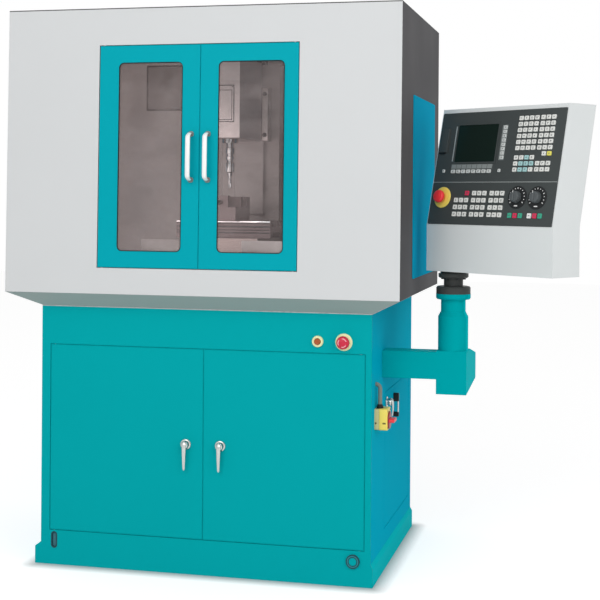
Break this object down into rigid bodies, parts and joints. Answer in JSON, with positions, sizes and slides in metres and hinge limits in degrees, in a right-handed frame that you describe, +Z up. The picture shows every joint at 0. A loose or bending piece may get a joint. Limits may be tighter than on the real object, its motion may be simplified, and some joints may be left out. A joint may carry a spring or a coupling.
{
  "type": "cnc milling machine",
  "caption": "Enclosed CNC milling machine: cabinet base, windowed hood over a small column mill, and a control pendant on a swivel arm.",
  "frame": {"origin": "centre of the base cabinet's footprint, on the floor", "axes": "+X to the operator's right (the pendant's side), +Y to the back, +Z up; the operator stands on the -Y side"},
  "size_m": [1.8209, 0.8892, 1.76],
  "materials": {
    "teal_enamel": "gloss baked enamel",
    "teal_door_enamel": "gloss baked enamel",
    "light_grey_powder_coat": "satin powder coat",
    "dark_grey_powder_coat": "satin powder coat",
    "mid_grey_powder_coat": "satin powder coat",
    "blue_cover_enamel": "gloss baked enamel",
    "zinc_plated_sheet": "plated sheet",
    "casting_enamel": "enamel over cast iron",
    "ground_cast_iron": "ground",
    "hardened_steel": "ground",
    "chromed_zinc": "polished",
    "window_sheet": "clear, slightly smoked",
    "white_handle_plastic": "moulded",
    "black_enamel": "satin enamel",
    "motor_enamel": "satin enamel",
    "drive_housing": "moulded",
    "yellow_plastic": "moulded",
    "red_plastic": "moulded",
    "orange_plastic": "moulded",
    "panel_foil": "foil on sheet",
    "key_plastic": "moulded",
    "screen_glass": "satin",
    "dial_plastic": "moulded",
    "conduit_plastic": "ribbed",
    "case_powder_coat": "satin powder coat"
  },
  "bodies": {
    "cabinet": {"base_plinth": "teal_enamel", "base_floor": "zinc_plated_sheet", "base_front_frame": "teal_enamel", "base_left_panel": "teal_enamel", "base_right_panel": "teal_enamel", "base_rear_panel": "teal_enamel", "base_deck": "zinc_plated_sheet", "hood_skirt": "mid_grey_powder_coat", "hood_front_frame": "light_grey_powder_coat", "hood_left_panel": "dark_grey_powder_coat", "hood_right_panel": "dark_grey_powder_coat", "hood_rear_panel": "dark_grey_powder_coat", "hood_roof": "dark_grey_powder_coat", "hood_side_covers": "blue_cover_enamel", "chip_tray": "zinc_plated_sheet", "coolant_tank": "mid_grey_powder_coat", "coolant_pump": "motor_enamel", "drive_units": "drive_housing", "switch_box": "yellow_plastic", "switch_conduit": "conduit_plastic", "pendant_arm": "teal_enamel", "swivel_base": "black_enamel", "button_bezels": "yellow_plastic", "lifting_sockets": "black_enamel", "machine_bed": "casting_enamel", "column": "casting_enamel", "servo_motors": "motor_enamel", "hinge_pins": "hardened_steel"},
    "hood_door_left": {"hood_door_left": "teal_door_enamel", "hood_window_left": "window_sheet", "hood_handle_left": "white_handle_plastic"},
    "hood_door_right": {"hood_door_right": "teal_door_enamel", "hood_window_right": "window_sheet", "hood_handle_right": "white_handle_plastic"},
    "base_door_left": {"base_door_left": "teal_enamel"},
    "base_latch_left": {"base_latch_left": "chromed_zinc"},
    "base_door_right": {"base_door_right": "teal_enamel"},
    "base_latch_right": {"base_latch_right": "chromed_zinc"},
    "side_door": {"side_door": "teal_enamel", "side_pull": "black_enamel"},
    "side_latch": {"side_latch": "chromed_zinc"},
    "switch_handle": {"switch_handle": "red_plastic"},
    "start_button": {"start_button": "orange_plastic"},
    "base_stop_button": {"base_stop_button": "red_plastic"},
    "pendant": {"swivel_head": "black_enamel", "pendant_case": "case_powder_coat", "pendant_panels": "panel_foil", "pendant_screen": "screen_glass", "pendant_keys": "key_plastic", "pendant_stop_ring": "yellow_plastic"},
    "pendant_stop_button": {"pendant_stop_button": "red_plastic"},
    "feed_dial": {"feed_dial": "dial_plastic"},
    "speed_dial": {"speed_dial": "dial_plastic"},
    "saddle": {"saddle": "ground_cast_iron"},
    "table": {"table": "ground_cast_iron", "vise_body": "hardened_steel"},
    "vise_jaw": {"vise_jaw": "hardened_steel"},
    "mill_head": {"mill_head": "casting_enamel", "head_cover": "light_grey_powder_coat"},
    "spindle": {"spindle": "hardened_steel"}
  },
  "joints": [
    {"name": "hood_door_left_hinge", "type": "hinge", "parent": "cabinet", "child": "hood_door_left", "pos_m": [-0.3075, -0.44688, 1.29777], "axis": [0, -0.0214, -0.9998], "range_deg": [0, 110]},
    {"name": "hood_door_right_hinge", "type": "hinge", "parent": "cabinet", "child": "hood_door_right", "pos_m": [0.3035, -0.44688, 1.29777], "axis": [0, 0.0214, 0.9998], "range_deg": [0, 110]},
    {"name": "base_door_left_hinge", "type": "hinge", "parent": "cabinet", "child": "base_door_left", "pos_m": [-0.491, -0.383, 0.406], "axis": [0, 0, -1], "range_deg": [0, 110]},
    {"name": "base_door_right_hinge", "type": "hinge", "parent": "cabinet", "child": "base_door_right", "pos_m": [0.501, -0.383, 0.406], "axis": [0, 0, 1], "range_deg": [0, 110]},
    {"name": "base_latch_left_turn", "type": "hinge", "parent": "base_door_left", "child": "base_latch_left", "pos_m": [-0.051, -0.389, 0.404], "axis": [0, 1, 0], "range_deg": [0, 90]},
    {"name": "base_latch_right_turn", "type": "hinge", "parent": "base_door_right", "child": "base_latch_right", "pos_m": [0.061, -0.389, 0.404], "axis": [0, -1, 0], "range_deg": [0, 90]},
    {"name": "side_door_hinge", "type": "hinge", "parent": "cabinet", "child": "side_door", "pos_m": [0.529, 0.319, 0.34], "axis": [0, 0, 1], "range_deg": [0, 110]},
    {"name": "side_latch_turn", "type": "hinge", "parent": "side_door", "child": "side_latch", "pos_m": [0.535, -0.13, 0.523], "axis": [1, 0, 0], "range_deg": [0, 90]},
    {"name": "main_switch_turn", "type": "hinge", "parent": "cabinet", "child": "switch_handle", "pos_m": [0.575, -0.31, 0.496], "axis": [1, 0, 0], "range_deg": [0, 90]},
    {"name": "start_button_push", "type": "slide", "parent": "cabinet", "child": "start_button", "axis": [0, 1, 0], "range_m": [0, 0.005], "stiffness_N_per_m": 600, "springref_m": -0.004},
    {"name": "base_stop_push", "type": "slide", "parent": "cabinet", "child": "base_stop_button", "axis": [0, 1, 0], "range_m": [0, 0.005], "stiffness_N_per_m": 600, "springref_m": -0.004},
    {"name": "pendant_swivel", "type": "hinge", "parent": "cabinet", "child": "pendant", "pos_m": [0.752, -0.165, 0.913], "axis": [0, 0, 1], "range_deg": [-55, 50]},
    {"name": "pendant_stop_push", "type": "slide", "parent": "pendant", "child": "pendant_stop_button", "axis": [0.561, 0.8013, -0.2079], "range_m": [0, 0.005], "stiffness_N_per_m": 600, "springref_m": -0.004},
    {"name": "feed_dial_turn", "type": "hinge", "parent": "pendant", "child": "feed_dial", "pos_m": [0.96423, -0.36401, 1.17933], "axis": [0.561, 0.8013, -0.2079], "range_deg": [-150, 150]},
    {"name": "speed_dial_turn", "type": "hinge", "parent": "pendant", "child": "speed_dial", "pos_m": [1.02473, -0.40663, 1.17836], "axis": [0.561, 0.8013, -0.2079], "range_deg": [-150, 150]},
    {"name": "y_slide", "type": "slide", "parent": "cabinet", "child": "saddle", "axis": [0, 1, 0], "range_m": [-0.07, 0.07]},
    {"name": "x_slide", "type": "slide", "parent": "saddle", "child": "table", "axis": [1, 0, 0], "range_m": [-0.09, 0.09]},
    {"name": "vise_jaw_slide", "type": "slide", "parent": "table", "child": "vise_jaw", "axis": [0, 1, 0], "range_m": [-0.03, 0.03]},
    {"name": "z_slide", "type": "slide", "parent": "cabinet", "child": "mill_head", "axis": [0, 0, 1], "range_m": [-0.025, 0.1]},
    {"name": "spindle_spin", "type": "hinge", "parent": "mill_head", "child": "spindle", "pos_m": [0, -0.1, 1.367], "axis": [0, 0, -1], "continuous": true}
  ]
}
